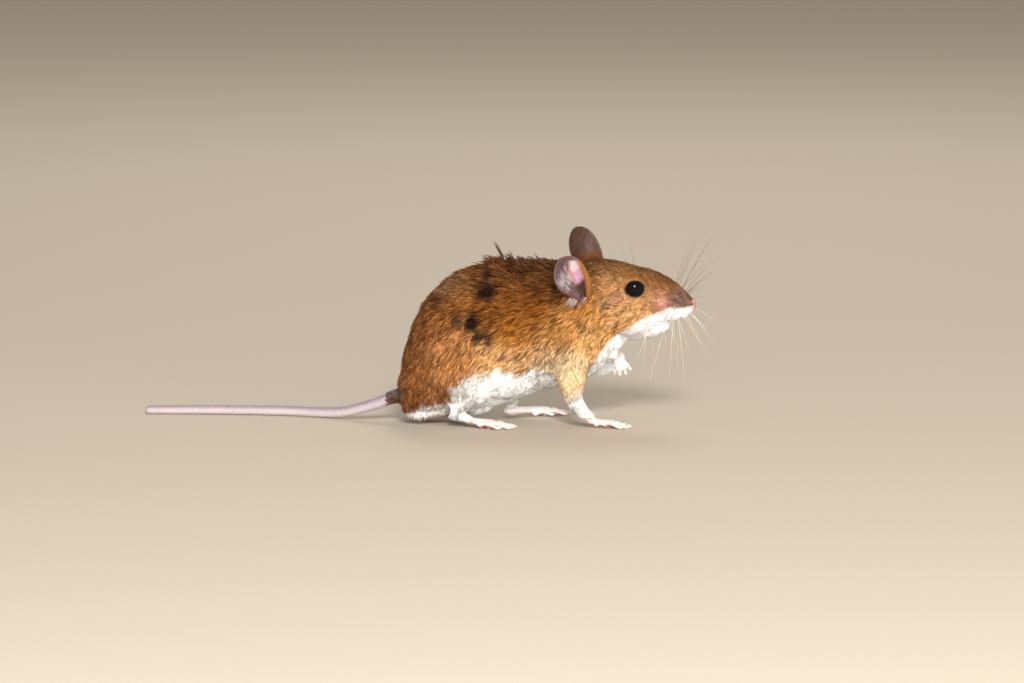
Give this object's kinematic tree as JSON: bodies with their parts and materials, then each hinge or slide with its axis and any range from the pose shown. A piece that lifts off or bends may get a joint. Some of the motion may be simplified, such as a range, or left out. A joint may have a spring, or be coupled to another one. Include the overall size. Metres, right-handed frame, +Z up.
{
  "type": "field mouse",
  "caption": "Still life-size field mouse standing on three feet with one forepaw lifted, large eyes and ears, and a long tail laid on the floor.",
  "frame": {"origin": "on the floor, under the middle of the bounding box", "axes": "+X towards the nose, +Y towards the animal's left side, +Z up"},
  "size_m": [0.1494, 0.0312, 0.0522],
  "materials": {
    "russet_coat": "short dense fur, orange-brown on the flank and darker along the back, with a white belly",
    "white_coat": "short dense white fur, cream-orange on the upper arm",
    "foot_skin": "pale pink skin under very short white hairs",
    "tail_skin": "pale ringed skin, a little darker above",
    "ear_skin": "thin skin, brown behind and lavender pink inside",
    "eye": "glossy black"
  },
  "bodies": {
    "root": {"torso": "russet_coat", "neck": "russet_coat", "head": "russet_coat", "hindleg_right": "russet_coat", "hindleg_left": "russet_coat", "foreleg_right": "white_coat", "foreleg_left": "white_coat", "hindfoot_right": "foot_skin", "hindfoot_left": "foot_skin", "forefoot_right": "foot_skin", "forefoot_left": "foot_skin", "tail_base": "tail_skin", "tail_middle": "tail_skin", "tail_end": "tail_skin", "ear_right": "ear_skin", "ear_left": "ear_skin", "eye_right": "eye", "eye_left": "eye"}
  },
  "joints": []
}
